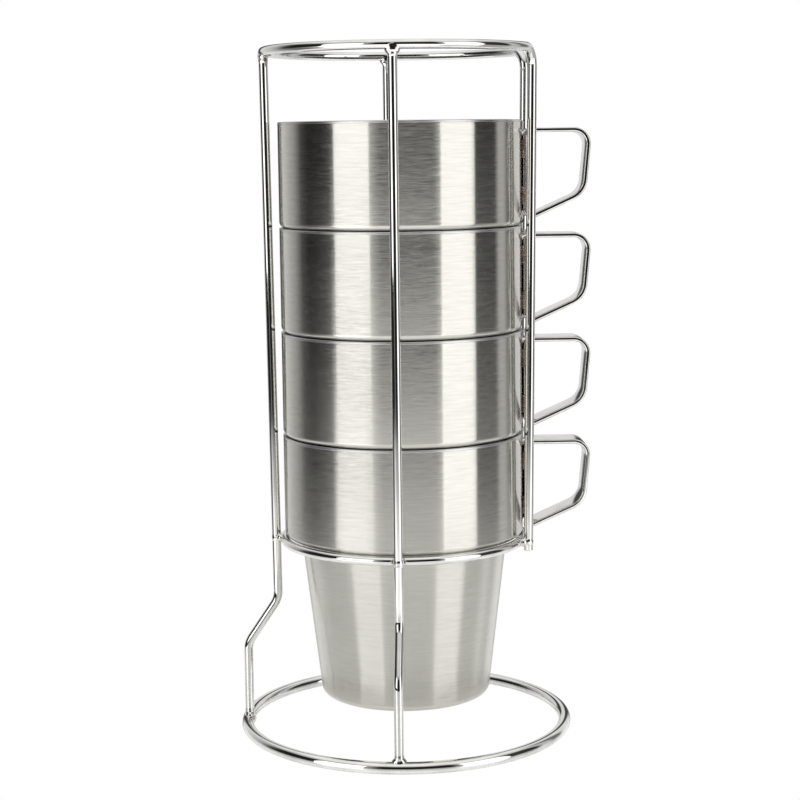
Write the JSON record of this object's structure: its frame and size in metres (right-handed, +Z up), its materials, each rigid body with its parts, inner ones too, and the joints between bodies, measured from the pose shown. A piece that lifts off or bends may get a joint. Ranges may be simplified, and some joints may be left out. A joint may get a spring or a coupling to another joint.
{
  "type": "stacking mug rack",
  "caption": "Welded wire rack that holds nesting double-walled steel mugs in one column, with the mug handles guided between upright wires.",
  "frame": {"origin": "on the floor at the rack's axis, the centre of the base ring's underside", "axes": "+Z up along the rack's axis, +X towards the mug handles, +Y towards the rear upright"},
  "size_m": [0.1181, 0.1118, 0.2277],
  "materials": {
    "rack_wire": "polished",
    "mug_outside": "brushed round the mug",
    "mug_inside": "satin",
    "handle_steel": "polished",
    "weld_steel": "as welded"
  },
  "bodies": {
    "rack": {"base_ring": "rack_wire", "support_ring": "rack_wire", "left_upright": "rack_wire", "front_upright": "rack_wire", "rear_upright": "rack_wire", "top_hoop": "rack_wire", "hoop_welds": "weld_steel", "support_welds": "weld_steel", "base_welds": "weld_steel"},
    "mug_1": {"mug_1_outer_shell": "mug_outside", "mug_1_inner_cup": "mug_inside", "mug_1_base_disc": "mug_inside", "mug_1_handle": "handle_steel", "mug_1_handle_welds": "weld_steel"},
    "mug_2": {"mug_2_outer_shell": "mug_outside", "mug_2_inner_cup": "mug_inside", "mug_2_base_disc": "mug_inside", "mug_2_handle": "handle_steel", "mug_2_handle_welds": "weld_steel"},
    "mug_3": {"mug_3_outer_shell": "mug_outside", "mug_3_inner_cup": "mug_inside", "mug_3_base_disc": "mug_inside", "mug_3_handle": "handle_steel", "mug_3_handle_welds": "weld_steel"},
    "mug_4": {"mug_4_outer_shell": "mug_outside", "mug_4_inner_cup": "mug_inside", "mug_4_base_disc": "mug_inside", "mug_4_handle": "handle_steel", "mug_4_handle_welds": "weld_steel"}
  },
  "joints": [
    {"name": "mug_1_lift", "type": "slide", "parent": "rack", "child": "mug_1", "axis": [0, 0, 1], "range_m": [0, 0.22]},
    {"name": "mug_2_lift", "type": "slide", "parent": "mug_1", "child": "mug_2", "axis": [0, 0, 1], "range_m": [0, 0.185]},
    {"name": "mug_3_lift", "type": "slide", "parent": "mug_2", "child": "mug_3", "axis": [0, 0, 1], "range_m": [0, 0.15]},
    {"name": "mug_4_lift", "type": "slide", "parent": "mug_3", "child": "mug_4", "axis": [0, 0, 1], "range_m": [0, 0.115]}
  ]
}
